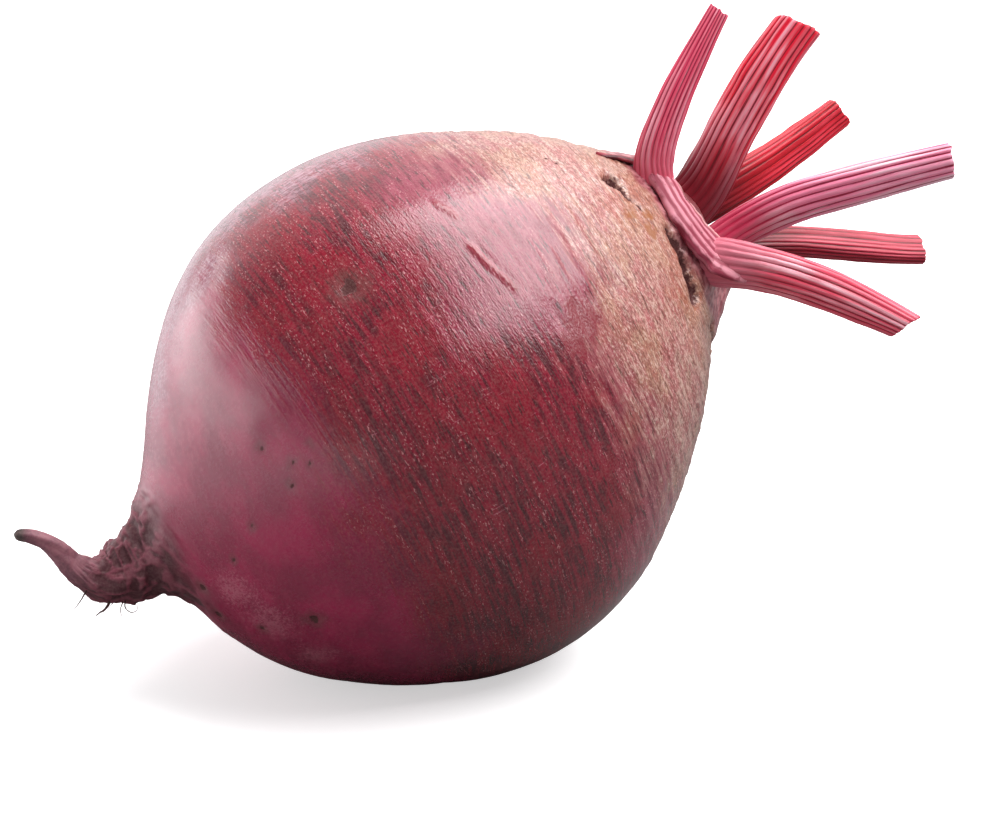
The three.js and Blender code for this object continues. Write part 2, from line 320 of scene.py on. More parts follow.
def bell(distance, half, power=2):
    """A mark's strength: e to the minus u, where u is the distance in half widths, squared or raised to the
    power given. It is 1 in the middle of the mark."""
    return np.exp(-(distance / half) ** power)


def distance_to(points, line):
    """Distance from each point to the nearest stretch of a line through a few points."""
    nearest = np.full(points.shape[:-1], 1e9)
    for start, end in zip(line[:-1], line[1:]):
        step = end - start
        share = np.clip((points - start) @ step / (step @ step), 0, 1)
        nearest = np.minimum(nearest, np.linalg.norm(points - start - share[..., None] * step, axis=-1))
    return nearest


def grid_normals(points):
    """Outward normals of a surface whose rows run from the crown to the tip and whose columns run round it:
    the cross product of the step round and the step along."""
    around = np.roll(points, -1, axis=1) - np.roll(points, 1, axis=1)
    along = np.gradient(points, axis=0)
    return unit(np.cross(along, around))


def build_mesh(name, points, first, last):
    """A closed mesh through rings of points, given as rows by columns by 3 in metres: quads between the
    rings and a fan to one point at each end."""
    rows, sides = points.shape[:2]
    vertices = points.reshape(-1, 3)
    ring, side = np.meshgrid(np.arange(rows - 1), np.arange(sides), indexing="ij")
    beside = (side + 1) % sides
    quads = np.stack([ring * sides + side, (ring + 1) * sides + side,
                      (ring + 1) * sides + beside, ring * sides + beside], -1).reshape(-1, 4)
    k = np.arange(sides)
    after = (k + 1) % sides
    end = (rows - 1) * sides
    vertices = np.vstack([vertices, first, last])
    top = np.stack([np.full(sides, rows * sides), k, after], -1)
    bottom = np.stack([np.full(sides, rows * sides + 1), end + after, end + k], -1)
    mesh = bpy.data.meshes.new(name)
    mesh.from_pydata(vertices.tolist(), [], quads.tolist() + top.tolist() + bottom.tolist())
    mesh.shade_smooth()
    mesh.update()
    piece = bpy.data.objects.new(name, mesh)
    bpy.context.scene.collection.objects.link(piece)
    return piece


def add_field(piece, name, values, first, last, kind="FLOAT"):
    """Stores one number or vector for each point of the piece, ring by ring, with values for the two end
    points."""
    attribute = piece.data.attributes.new(name, kind, "POINT")
    flat = np.concatenate([np.asarray(values, float).reshape(-1), np.ravel(first), np.ravel(last)])
    attribute.data.foreach_set("vector" if kind == "FLOAT_VECTOR" else "value", flat.astype(np.float32))


def origin_shift():
    """From the beetroot's own middle to the origin, which is the middle of the flat spot: the solid's rings
    and the tip of its taproot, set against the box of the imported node."""
    rings = root_base(np.arange(1, 2 * LAST_ROW) / 2, np.arange(48) * np.pi / 24).reshape(-1, 3)
    solid = np.vstack([rings, OUTLINE[-1:, [2, 3, 0]]]) @ LIE.T
    low, high = (np.array(corner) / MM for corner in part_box("root"))
    return np.array([low[0] - solid[:, 0].min(), high[1] - solid[:, 1].max(), high[2] - solid[:, 2].max()])


def settled(place):
    """Shapes the underside as it lies. Its lowest point was SEAT_SHIFT from the origin, the other way. A
    point comes down by FULLNESS times how far it lies past that point towards the origin, all of it low
    down and none above ROUND_ABOVE, and no point is lower than the floor."""
    way = np.array(SEAT_SHIFT) / np.hypot(*SEAT_SHIFT)
    towards = np.maximum(0, (place[..., :2] + SEAT_SHIFT) @ way)
    height = place[..., 2]
    fuller = FULLNESS * towards * (1 - smooth(FULL_BELOW, ROUND_ABOVE, height))
    place[..., 2] = np.maximum(0, height - fuller)
    return place


def make_root():
    """The root: the solid's surface on a fine grid, with the skin's relief added along its normals. The
    skin has low bumps, fine rings across the axis on the corky shoulder, ribbed sheaths at the crown,
    wrinkles on the taproot, and its welts, pits, holes and crevices."""
    dense = np.linspace(0, LAST_ROW, OUTLINE_STEPS)
    profile = through(OUTLINE, dense)
    length = np.concatenate([[0], np.cumsum(np.linalg.norm(np.diff(profile, axis=0), axis=1))])
    rows = np.interp(np.linspace(0, length[-1], ROOT_ROWS + 2)[1:-1], length, dense)
    run = np.interp(rows, dense, length)
    angles = np.arange(ROOT_SIDES) * 2 * np.pi / ROOT_SIDES
    surface = root_base(rows, angles)
    normals = grid_normals(surface)
    middle, radius, *_ = root_frame(rows)
    z = np.repeat(middle[:, 2:3], ROOT_SIDES, 1)
    a, row = np.meshgrid(angles, rows)
    degrees = np.degrees(a)
    wide = np.repeat(radius[:, None], ROOT_SIDES, 1)
    skin_at = np.stack([np.repeat(run[:, None], ROOT_SIDES, 1), wide * np.cos(a), wide * np.sin(a)], -1)

    bulb = smooth(-48, -42, z) * (1 - smooth(40, 44, z))
    shoulder = smooth(6, 26, z + 4 * noise(surface / 9, 3)) * (1 - smooth(42, 46, z))
    sheath = smooth(41.2, 42.6, z + 0.5 * noise(surface / 3, 5)) * smooth(9, 12.5, wide) * (row < 7)
    tail = 1 - smooth(-47.5, -43.5, z + 1.2 * noise(surface / 3, 8))
    neck = tail * smooth(1.5, 4.0, wide)

    lift = bulb * (0.05 + 0.10 * shoulder) * (noise(surface / 7, 11, 2) + 0.3 * noise(surface / 2.2, 12, 2))
    rings = noise(skin_at * np.array([1.5, 0.16, 0.16]), 21, 3)
    lift += (0.012 + 0.12 * shoulder) * bulb * rings
    lift += 0.10 * shoulder * np.minimum(0, noise(skin_at * np.array([0.9, 0.35, 0.35]), 25, 2) + 0.25)
    sheath_ribs = np.cos(SHEATH_WAVES * a + 1.5 * noise(surface / 4, 31))
    lift += sheath * (0.06 * sheath_ribs + 0.16 * noise(surface / 2.2, 32, 2))
    folds = np.abs(noise(np.stack([z * 0.62, 2.3 * np.cos(a), 2.3 * np.sin(a)], -1), 41, 3))
    lift += neck * (0.10 - 0.8 * np.minimum(folds, 0.5))
    lift += tail * smooth(0.6, 2.5, wide) * 0.16 * noise(skin_at * np.array([1.7, 0.5, 0.5]), 43, 2)

    dark, ridge, scab, rust, bruise, scuff = (np.zeros_like(z) for _ in range(6))
    for places, half, height in WELTS:
        d = distance_to(surface, mark_points(places))
        lift += height * bell(d, half) - 0.4 * height * bell(d - 1.6 * half, 0.7 * half)
        ridge = np.maximum(ridge, bell(d, 1.25 * half))
        dark = np.maximum(dark, 0.45 * bell(d - 1.5 * half, 0.5 * half))
    for at, around, half, depth in PITS:
        d = distance_from(surface, at, around) * (1 + 0.35 * noise(surface / 1.1, 51))
        lift -= depth * bell(d, half)
        dark = np.maximum(dark, 0.8 * bell(d, half, 4))
        scab = np.maximum(scab, bell(d - 1.2 * half, half))
    torn = surface + 0.7 * np.stack([noise(surface / 1.4, 53 + k, 2) for k in range(3)], -1)
    # Holes and crevices are sunk and marked dark: the torn flesh's dark red deepened with painted shade.
    for at, around, half, depth in HOLES:
        d = distance_from(torn, at, around)
        lift -= depth * bell(d, half, 4)
        dark = np.maximum(dark, bell(d, 1.3 * half))
    for places, half, depth in CREVICES:
        d = distance_to(torn, mark_points(places))
        lift -= depth * bell(d, half)
        dark = np.maximum(dark, bell(d, 1.3 * half))
    for at, around, half in BRUISES:
        bruise = np.maximum(bruise, bell(distance_from(torn + 1.2 * (torn - surface), at, around), half))
    for at, around, half in RUST:
        rust = np.maximum(rust, bell(distance_from(torn, at, around), half))
    for at, around, half, depth in DENTS:
        lift -= depth * bell(distance_from(surface, at, around), half)
    for at, around, half in SCUFFS:
        d = distance_from(surface, at, around) * (1 + 0.3 * noise(surface / 3, 57, 2))
        scuff = np.maximum(scuff, bell(d, half))

    border = 4 + 11 * (1 - smooth(30, 46, degrees)) + 14 * smooth(84, 97, degrees)
    border = border - 9 * smooth(120, 165, degrees) + 6 * smooth(300, 350, degrees)
    cork = z - border + 3 * noise(surface / 8, 61, 2)
    tan_from = 19 + 7 * smooth(55, 62, degrees) * (1 - smooth(82, 96, degrees))
    tan = z - tan_from + 3 * noise(surface / 6, 63, 2)
    crimson = z + 21 + 4 * noise(surface / 9, 65, 2) + 3 * np.cos(a - 1.2)

    # Painted sheen and dust: a pale grey-lavender haze on the upper side, from near the taproot to the middle.
    # It is partly dusty scratches and partly a painted reflection of light at that edge.
    from_top = np.abs((degrees + 180) % 360 - 180) + 9 * noise(surface / 5, 67, 3)
    dust_and_sheen = (1 - smooth(12, 34, from_top)) * smooth(-44, -34, z) * (1 - smooth(4, 16, z))

    crown = np.array([[CROWN_X, 0, OUTLINE[0, 0]]]) @ LIE.T
    tip = np.array([OUTLINE[-1, [2, 3, 0]]]) @ LIE.T
    shift = origin_shift()
    place = settled((surface + lift[..., None] * normals) @ LIE.T + shift)

    root = build_mesh("beet_root", place * MM, first=(crown + shift) * MM, last=(tip + shift) * MM)
    add_field(root, "skin_at", skin_at, [0, 0, 0], [run[-1], 0, 0], "FLOAT_VECTOR")
    for name, values, at_crown, at_tip in [
            ("cork", cork, 40, -60), ("tan", tan, 20, -60), ("crimson", crimson, 60, -40),
            ("tail", tail, 0, 1), ("height", z, OUTLINE[0, 0], OUTLINE[-1, 0])]:
        add_field(root, name, values, [at_crown], [at_tip])
    for name, values in [("sheath", sheath), ("dark", dark), ("ridge", ridge), ("scab", scab), ("rust", rust),
                         ("bruise", bruise), ("dust_and_sheen", dust_and_sheen), ("scuff", scuff), ("folds", folds),
                         ("thick", wide)]:
        add_field(root, name, values, [0], [0])
    return root, shift


def make_stem(name, shift, path, half_width, thickness, cut_slope, seed):
    """A stem swept along its path. Its section is an ellipse, flatter on the side that faces the crown's
    middle and with a channel there, and its radius dips in a sharp groove between one rounded rib and the
    next. The cut end closes in rings that step inwards with rounded edges and a slightly sunken middle."""
    count = len(path) - 1
    t = np.linspace(0, 1, STEM_ROWS)
    line = through(path, t * count)
    cubic = np.stack([np.polyval(np.polyfit(t, line[:, k], 3), t) for k in range(3)], -1)
    line = line + 0.6 * (cubic - line)
    tangent = unit(np.gradient(line, axis=0))
    outward = unit(np.array([path[0][0] - CROWN_X, path[0][1], 0.0]))
    back = unit(outward - (tangent @ outward)[:, None] * tangent)
    side = np.cross(back, tangent)
    half = through(half_width, t * count)
    a = (np.arange(STEM_SIDES) + 0.5) * 2 * np.pi / STEM_SIDES
    waver = 0.05 * noise(np.stack([t * 4, t * 0 + seed, t * 0], -1), 71)[:, None]
    uneven = 1.3 * noise(np.stack([np.cos(a) * 1.6, np.sin(a) * 1.6, 0 * a + seed], -1), 75)[None]
    groove = 1 - np.abs(np.cos((a[None] + waver) * STEM_RIBS / 2 + uneven))
    depth = RIB_DEPTH * smooth(0, 0.35, t)[:, None]
    uneven = 1 + 0.03 * noise(np.stack([np.cos(a)[None] * 2 + 0 * half, np.sin(a)[None] * 2 + 0 * half,
                                        t[:, None] * 9 + 0 * a[None]], -1), 70 + seed, 2)
    rib = (1 - depth * groove ** 1.15) * uneven
    inner = np.where(np.cos(a) < 0, INNER_FLATTENING, 1)
    channel = 1 - CHANNEL_DEPTH * np.maximum(0, -np.cos(a)) ** 6
    wide = half * rib * np.sin(a)
    thick = half * thickness * rib * inner * channel * np.cos(a)
    tilt = cut_slope * wide * smooth(0.86, 1.0, t)[:, None]
    ragged = 0.25 * noise(np.stack([np.cos(a) * 3, np.sin(a) * 3, a * 0 + seed], -1), 77, 2)[None]
    ragged = ragged * smooth(0.93, 1.0, t)[:, None]
    rings = (line[:, None] + side[:, None] * wide[..., None] + back[:, None] * thick[..., None]
             + tangent[:, None] * (tilt + ragged)[..., None])
    groove = groove + 0 * wide
    share = np.linspace(0, 1, CAP_ROWS + 1)[1:, None, None]
    shrink = 1 - 0.93 * share ** 1.6
    centre = line[-1]
    sunken = 0.35 * smooth(0.1, 1.0, share)
    cap = centre + (rings[-1] - centre)[None] * shrink - tangent[-1] * (sunken - 0.12 * smooth(0, 0.2, share))
    points = np.concatenate([rings, cap])
    foot = line[0] - 0.3 * tangent[0]
    end = cap[-1].mean(0)
    place = points @ LIE.T + shift
    piece = build_mesh("beet_" + name, place * MM, first=(foot @ LIE.T + shift) * MM,
                       last=(end @ LIE.T + shift) * MM)
    along = np.concatenate([np.repeat(t[:, None], STEM_SIDES, 1), np.ones((CAP_ROWS, STEM_SIDES))])
    cut = np.concatenate([np.zeros((STEM_ROWS, STEM_SIDES)), np.repeat(share[:, :, 0], STEM_SIDES, 1)])
    grooves = np.concatenate([groove, np.repeat(groove[-1:], CAP_ROWS, 0) * shrink[..., 0]])
    sweep = np.linalg.norm(np.diff(line, axis=0), axis=1).sum()
    flat = 0 * along
    grain = np.stack([along * sweep, np.cos(a)[None] * half[0] + flat, np.sin(a)[None] * half[0] + flat], -1)
    for field, values, at_end in [("along", along, 1), ("cut", cut, 1), ("groove", grooves, 0)]:
        add_field(piece, field, values, [0], [at_end])
    add_field(piece, "grain_at", grain, [0, 0, 0], [sweep, 0, 0], "FLOAT_VECTOR")
    return piece


class Nodes:
    """A material's node tree, with a short call for each kind of node that the finishes use."""

    def __init__(self, name):
        self.material = bpy.data.materials.new(name)
        self.material.use_nodes = True
        self.tree = self.material.node_tree
        self.tree.nodes.clear()

    def node(self, kind, **settings):
        made = self.tree.nodes.new(kind)
        for key, value in settings.items():
            setattr(made, key, value)
        return made

    def feed(self, socket, value):
        """Links a socket to the input, or sets the input to a number or colour."""
        if isinstance(value, bpy.types.NodeSocket):
            self.tree.links.new(value, socket)
        elif isinstance(value, tuple) and len(value) == 3 and socket.type == "RGBA":
            socket.default_value = (*value, 1.0)
        else:
            socket.default_value = value

    def field(self, name, vector=False):
        """A number or vector that the mesh carries at its points."""
        made = self.node("ShaderNodeAttribute", attribute_name=name)
        return made.outputs["Vector" if vector else "Fac"]

    def stretch(self, vector, factors):
        """The vector with its three numbers multiplied by the factors."""
        made = self.node("ShaderNodeVectorMath", operation="MULTIPLY")
        self.feed(made.inputs[0], vector)
        made.inputs[1].default_value = factors
        return made.outputs[0]

    def noise(self, vector, scale=1.0, detail=2.0, roughness=0.5, distortion=0.0):
        made = self.node("ShaderNodeTexNoise")
        self.feed(made.inputs["Vector"], vector)
        settings = {"Scale": scale, "Detail": detail, "Roughness": roughness, "Distortion": distortion}
        for key, value in settings.items():
            made.inputs[key].default_value = value
        return made.outputs["Fac"]

    def ramp(self, value, low, high, to_low=0.0, to_high=1.0):
        """An S-shaped rise from to_low to to_high as the value goes from low to high."""
        made = self.node("ShaderNodeMapRange", interpolation_type="SMOOTHSTEP")
        for socket, number in zip(made.inputs, (value, low, high, to_low, to_high)):
            self.feed(socket, number)
        return made.outputs[0]

    def calc(self, operation, a, b=0.0, c=0.0):
        made = self.node("ShaderNodeMath", operation=operation)
        for socket, number in zip(made.inputs, (a, b, c)):
            self.feed(socket, number)
        return made.outputs[0]

    def blend(self, factor, a, b):
        """Colour a where the factor is 0, colour b where it is 1."""
        made = self.node("ShaderNodeMix", data_type="RGBA")
        self.feed(made.inputs[0], factor)
        self.feed(made.inputs[6], a)
        self.feed(made.inputs[7], b)
        return made.outputs[2]

    def bump(self, height, distance, strength=1.0, normal=None):
        """Relief in the shading alone, distance metres high, on top of an earlier one where it is given."""
        made = self.node("ShaderNodeBump")
        made.inputs["Distance"].default_value = distance
        made.inputs["Strength"].default_value = strength
        self.feed(made.inputs["Height"], height)
        if normal is not None:
            self.feed(made.inputs["Normal"], normal)
        return made.outputs[0]

    def surface(self, colour, roughness, normal, **sockets):
        """The finished material. Sockets named with underscores are set to one number."""
        shader = self.node("ShaderNodeBsdfPrincipled")
        self.feed(shader.inputs["Base Color"], colour)
        self.feed(shader.inputs["Roughness"], roughness)
        self.feed(shader.inputs["Normal"], normal)
        for key, value in sockets.items():
            shader.inputs[key.replace("_", " ")].default_value = value
        output = self.node("ShaderNodeOutputMaterial")
        self.tree.links.new(shader.outputs[0], output.inputs[0])
        return self.material


def srgb(red, green, blue):
    """A colour as it looks on a screen, 0 to 255, turned into the shader's linear values."""
    channels = np.array([red, green, blue]) / 255
    linear = np.where(channels <= 0.04045, channels / 12.92, ((channels + 0.055) / 1.055) ** 2.4)
    return tuple(float(x) for x in linear)


def root_skin():
    """Skin of the root: satin burgundy towards the taproot, a crimson band with rows of pale specks (partly
    painted glints) and dark hair cracks across the axis, a pinkish and then tan corky shoulder with short
    cracks, ribbed pink sheaths at the crown, and a grey-brown wrinkled taproot. Painted light: a pale sheen
    over the dusty upper side, and painted shade in the crown's middle and in the holes and crevices."""
    n = Nodes("root_skin")
    skin = n.field("skin_at", vector=True)
    body = n.node("ShaderNodeTexCoord").outputs["Object"]
    streak = n.noise(n.stretch(skin, (1.6, 0.13, 0.13)), detail=5, roughness=0.6)
    band = n.noise(n.stretch(skin, (0.55, 0.05, 0.05)), detail=3, roughness=0.6)
    speck = n.noise(n.stretch(skin, (4.6, 1.9, 1.9)), detail=1, roughness=0.5)
    hair = n.noise(n.stretch(skin, (2.5, 0.26, 0.26)), scale=1.2, detail=3, roughness=0.55)
    blotch = n.noise(n.stretch(skin, (0.13, 0.11, 0.11)), detail=4, roughness=0.55)
    mottle = n.noise(n.stretch(skin, (0.5, 0.4, 0.4)), detail=5, roughness=0.62)
    scratch = n.noise(n.stretch(skin, (0.9, 2.6, 2.6)), detail=4, roughness=0.65, distortion=0.6)
    grain = n.noise(body, scale=2600, detail=3, roughness=0.6)
    tail = n.field("tail")
    height = n.field("height")

    burgundy = n.blend(n.ramp(blotch, 0.35, 0.68), srgb(142, 12, 64), srgb(170, 20, 78))
    burgundy = n.blend(n.ramp(mottle, 0.52, 0.78, 0, 0.35), burgundy, srgb(172, 38, 80))
    burgundy = n.blend(n.ramp(scratch, 0.58, 0.72, 0, 0.30), burgundy, srgb(120, 12, 48))
    crimson = n.blend(n.ramp(streak, 0.40, 0.60), srgb(80, 2, 26), srgb(134, 4, 40))
    crimson = n.blend(n.ramp(blotch, 0.44, 0.62, 0, 0.6), crimson, srgb(140, 4, 34))
    crimson = n.blend(n.ramp(mottle, 0.54, 0.74, 0, 0.55), crimson, srgb(158, 14, 48))
    crimson_edge = n.calc("MULTIPLY_ADD", streak, 16.0, n.calc("SUBTRACT", n.field("crimson"), 8.0))
    crimson_share = n.ramp(crimson_edge, -6, 8)
    colour = n.blend(crimson_share, burgundy, crimson)

    # Painted sheen and dust on the upper side: paler, greyer skin in scratchy patches, partly dust and partly
    # a painted reflection of light.
    dust_and_sheen_share = n.ramp(n.calc("ADD", scratch, mottle), 0.82, 1.12, 0.25, 0.85)
    dust_and_sheen_share = n.calc("MULTIPLY", n.field("dust_and_sheen"), dust_and_sheen_share)
    dust_and_sheen_tone = n.blend(n.ramp(scratch, 0.42, 0.58), srgb(128, 66, 88), srgb(186, 140, 156))
    colour = n.blend(dust_and_sheen_share, colour, dust_and_sheen_tone)

    lines = n.noise(n.stretch(skin, (0.22, 3.2, 3.2)), detail=3, roughness=0.6)
    scuffed = n.calc("MULTIPLY_ADD", lines, 3.0, n.calc("MULTIPLY", n.field("scuff"), 0.75))
    scuffed = n.ramp(scuffed, 1.95, 2.25, 0, 0.55)
    colour = n.blend(scuffed, colour, srgb(206, 120, 138))

    ragged = n.calc("MULTIPLY_ADD", streak, 18.0, n.calc("MULTIPLY_ADD", band, 10.0, -14.0))
    cork_share = n.ramp(n.calc("ADD", n.field("cork"), ragged), -6, 7)
    rose = n.blend(n.ramp(streak, 0.36, 0.64), srgb(132, 24, 56), srgb(150, 56, 82))
    rose = n.blend(n.ramp(mottle, 0.48, 0.72, 0, 0.6), rose, srgb(166, 80, 98))
    colour = n.blend(n.calc("MULTIPLY", cork_share, 0.80), colour, rose)

    tan_share = n.ramp(n.calc("ADD", n.field("tan"), n.calc("MULTIPLY", ragged, 0.9)), -6, 8)
    tan = n.blend(n.ramp(streak, 0.40, 0.60), srgb(160, 88, 86), srgb(192, 150, 136))
    tan = n.blend(n.ramp(mottle, 0.46, 0.58, 0, 0.8), tan, srgb(170, 88, 90))
    tan = n.blend(n.calc("MULTIPLY", n.ramp(blotch, 0.46, 0.62), 0.45), tan, srgb(168, 122, 84))
    gold = n.ramp(n.calc("MULTIPLY_ADD", mottle, 14.0, height), 40, 48)
    tan = n.blend(n.calc("MULTIPLY", gold, 0.45), tan, srgb(158, 104, 60))
    colour = n.blend(tan_share, colour, tan)

    in_band = n.calc("MULTIPLY", n.ramp(crimson_share, 0.3, 1.0), n.ramp(tan_share, 0.2, 1.0, 1, 0.5))
    # Pale specks in rows across the band: partly the skin's own pale flecks, partly painted glints of light on
    # its rough relief.
    rows = n.calc("ADD", n.calc("MULTIPLY", band, 0.6), n.calc("MULTIPLY", streak, 0.4))
    rows = n.ramp(rows, 0.47, 0.58, 0.03, 1)
    pale = n.calc("MULTIPLY", n.calc("MULTIPLY", n.ramp(speck, 0.62, 0.68), rows), in_band)
    colour = n.blend(n.calc("MULTIPLY", pale, 0.6), colour, srgb(214, 150, 152))
    crack = n.noise(n.stretch(skin, (2.9, 1.1, 1.1)), scale=1.3, detail=4, roughness=0.72)
    crack_share = n.calc("MULTIPLY", n.ramp(crack, 0.49, 0.40), n.ramp(tan_share, 0.1, 0.8))
    colour = n.blend(n.calc("MULTIPLY", crack_share, 0.8), colour, srgb(112, 56, 46))
    light_share = n.calc("MULTIPLY", n.ramp(crack, 0.53, 0.61), n.ramp(tan_share, 0.1, 0.8))
    colour = n.blend(n.calc("MULTIPLY", light_share, 0.6), colour, srgb(222, 190, 180))
    fine = n.ramp(hair, 0.40, 0.355)
    fine = n.calc("MULTIPLY", fine, n.calc("MULTIPLY", n.ramp(height, -24, -8), n.ramp(tail, 0, 1, 1, 0)))
    fine_tone = n.blend(tan_share, srgb(56, 8, 20), srgb(92, 48, 34))
    colour = n.blend(n.calc("MULTIPLY", fine, 0.8), colour, fine_tone)

    sheath = n.field("sheath")
    sheath_mix = n.ramp(n.noise(body, scale=900, detail=3), 0.4, 0.62)
    colour = n.blend(sheath, colour, n.blend(sheath_mix, srgb(136, 58, 72), srgb(186, 118, 124)))
    colour = n.blend(n.calc("MULTIPLY", sheath, n.ramp(height, 46.4, 47.8)), colour, srgb(104, 18, 38))
    # Painted shade: the crown's middle inside the rim, where the stems' feet stand close together, is
    # darkened.
    inside = n.ramp(n.field("thick"), 10.5, 8.0)
    crown = n.calc("MULTIPLY", inside, n.ramp(height, 44, 46))
    colour = n.blend(crown, colour, srgb(70, 10, 24))

    neck_tone = n.blend(n.ramp(n.field("folds"), 0.02, 0.42), srgb(134, 60, 78), srgb(84, 28, 42))
    thin_tone = n.blend(n.ramp(mottle, 0.4, 0.6), srgb(112, 58, 74), srgb(140, 80, 94))
    tip_tone = n.blend(n.ramp(height, -62.2, -63.4), thin_tone, srgb(62, 46, 46))
    tail_tone = n.blend(n.ramp(n.field("thick"), 3.4, 1.9), neck_tone, tip_tone)
    colour = n.blend(tail, colour, tail_tone)

    colour = n.blend(n.calc("MULTIPLY", n.field("scab"), 0.45), colour, srgb(96, 66, 62))
    colour = n.blend(n.calc("MULTIPLY", n.field("ridge"), 0.8), colour, srgb(150, 48, 60))
    grit = n.noise(body, scale=1100, detail=4, roughness=0.65)
    bruise = n.ramp(n.calc("MULTIPLY_ADD", streak, 1.6, n.field("bruise")), 1.00, 1.26)
    colour = n.blend(n.calc("MULTIPLY", bruise, 0.92), colour, srgb(126, 26, 44))
    rust = n.ramp(n.calc("MULTIPLY_ADD", grit, 1.6, n.field("rust")), 1.05, 1.5)
    colour = n.blend(n.calc("MULTIPLY", rust, 0.9), colour, srgb(146, 82, 32))
    # Dark marks: the pits' and welts' own dark edges, and in the holes and crevices the torn flesh's dark red
    # deepened with painted shade.
    torn = n.ramp(n.calc("MULTIPLY_ADD", grit, 1.0, n.field("dark")), 0.9, 1.15)
    colour = n.blend(torn, colour, srgb(70, 8, 14))
    colour = n.blend(n.ramp(grain, 0.35, 0.7, 0.0, 0.10), colour, srgb(200, 160, 150))

    rough = n.ramp(crimson_share, 0, 1, 0.27, 0.18)
    rough = n.calc("MULTIPLY_ADD", tan_share, 0.14, rough)
    rough = n.calc("MULTIPLY_ADD", tail, 0.36, rough)
    rough = n.calc("MULTIPLY_ADD", n.calc("SUBTRACT", mottle, 0.5), 0.10, rough)
    rough = n.calc("MULTIPLY_ADD", n.calc("SUBTRACT", scratch, 0.5), 0.10, rough)
    rough = n.calc("MAXIMUM", rough, n.calc("MULTIPLY", torn, 0.9))

    relief_lines = n.calc("ADD", n.calc("MULTIPLY", hair, 0.8), n.calc("MULTIPLY", speck, 0.7))
    relief_lines = n.calc("MULTIPLY", relief_lines, n.ramp(crimson_share, 0, 1, 0.10, 1.0))
    relief_lines = n.calc("MULTIPLY", relief_lines, n.ramp(tail, 0, 1, 1, 0.3))
    normal = n.bump(relief_lines, 0.08 * MM, 0.8)
    normal = n.bump(scratch, 0.015 * MM, 0.7, normal)
    normal = n.bump(grain, 0.008 * MM, 0.6, normal)
    return n.surface(colour, rough, normal, IOR=1.5, Specular_IOR_Level=0.62)


def stem_flesh(name, crest, side, line, foot, pale):
    """Flesh of a stem: pale pink crests here and there, saturated pink or red sides, thin dark lines in the
    grooves, fine fibres along it and a moist pale cut end."""
    n = Nodes(name)
    grain_at = n.field("grain_at", vector=True)
    along = n.field("along")
    groove = n.field("groove")
    fibre = n.noise(n.stretch(grain_at, (0.10, 2.6, 2.6)), detail=4, roughness=0.6)
    patch = n.noise(n.stretch(grain_at, (0.05, 0.42, 0.42)), detail=3)
    wash = n.noise(n.stretch(grain_at, (0.14, 0.30, 0.30)), detail=3)
    colour = n.blend(n.ramp(patch, 0.40, 0.60), side, crest)
    on_crest = n.calc("MULTIPLY", n.ramp(groove, 0.30, 0.04), n.ramp(patch, 0.36, 0.56, 0.25, 1))
    colour = n.blend(n.calc("MULTIPLY", on_crest, 0.65), colour, pale)
    colour = n.blend(n.ramp(wash, 0.45, 0.65, 0, 0.5), colour, side)
    in_groove = n.ramp(n.calc("MULTIPLY_ADD", n.calc("SUBTRACT", fibre, 0.5), 1.3, groove), 0.54, 0.80)
    colour = n.blend(n.calc("MULTIPLY", in_groove, 0.95), colour, line)
    colour = n.blend(n.ramp(fibre, 0.60, 0.72, 0, 0.45), colour, pale)
    # Painted shade: towards its foot the stem blends into the foot's tone, the shade between the crowded
    # stems' feet.
    colour = n.blend(n.ramp(along, 0.62, 0.26, 0, 0.92), colour, foot)
    flesh_mix = n.ramp(n.noise(grain_at, scale=1.6, detail=3), 0.4, 0.6)
    flesh = n.blend(flesh_mix, srgb(206, 84, 100), srgb(240, 176, 176))
    colour = n.blend(n.ramp(n.field("cut"), 0.02, 0.12), colour, flesh)
    normal = n.bump(fibre, 0.10 * MM, 0.7)
    return n.surface(colour, n.ramp(fibre, 0.3, 0.7, 0.30, 0.44), normal, IOR=1.45, Specular_IOR_Level=0.4)


# Colours of each stem: crests, sides, lines in the grooves, foot, palest streaks. The foot's tone is painted
# shade between the crowded feet, darkened on stems 2 to 5; on stems 1 and 6 it is their own pink.
STEM_COLOURS = {
    "stem_1": [(244, 142, 164), (228, 66, 102), (132, 14, 42), (222, 92, 116), (250, 190, 204)],
    "stem_2": [(250, 134, 154), (236, 28, 58), (128, 6, 26), (112, 8, 28), (250, 184, 196)],
    "stem_3": [(218, 36, 58), (196, 6, 32), (112, 2, 16), (92, 2, 14), (228, 78, 96)],
    "stem_4": [(254, 204, 222), (252, 138, 174), (160, 18, 56), (206, 44, 84), (254, 222, 232)],
    "stem_5": [(200, 44, 72), (160, 10, 42), (92, 2, 20), (70, 2, 14), (216, 84, 106)],
    "stem_6": [(252, 168, 184), (238, 74, 102), (146, 14, 38), (214, 112, 132), (252, 204, 214)],
}


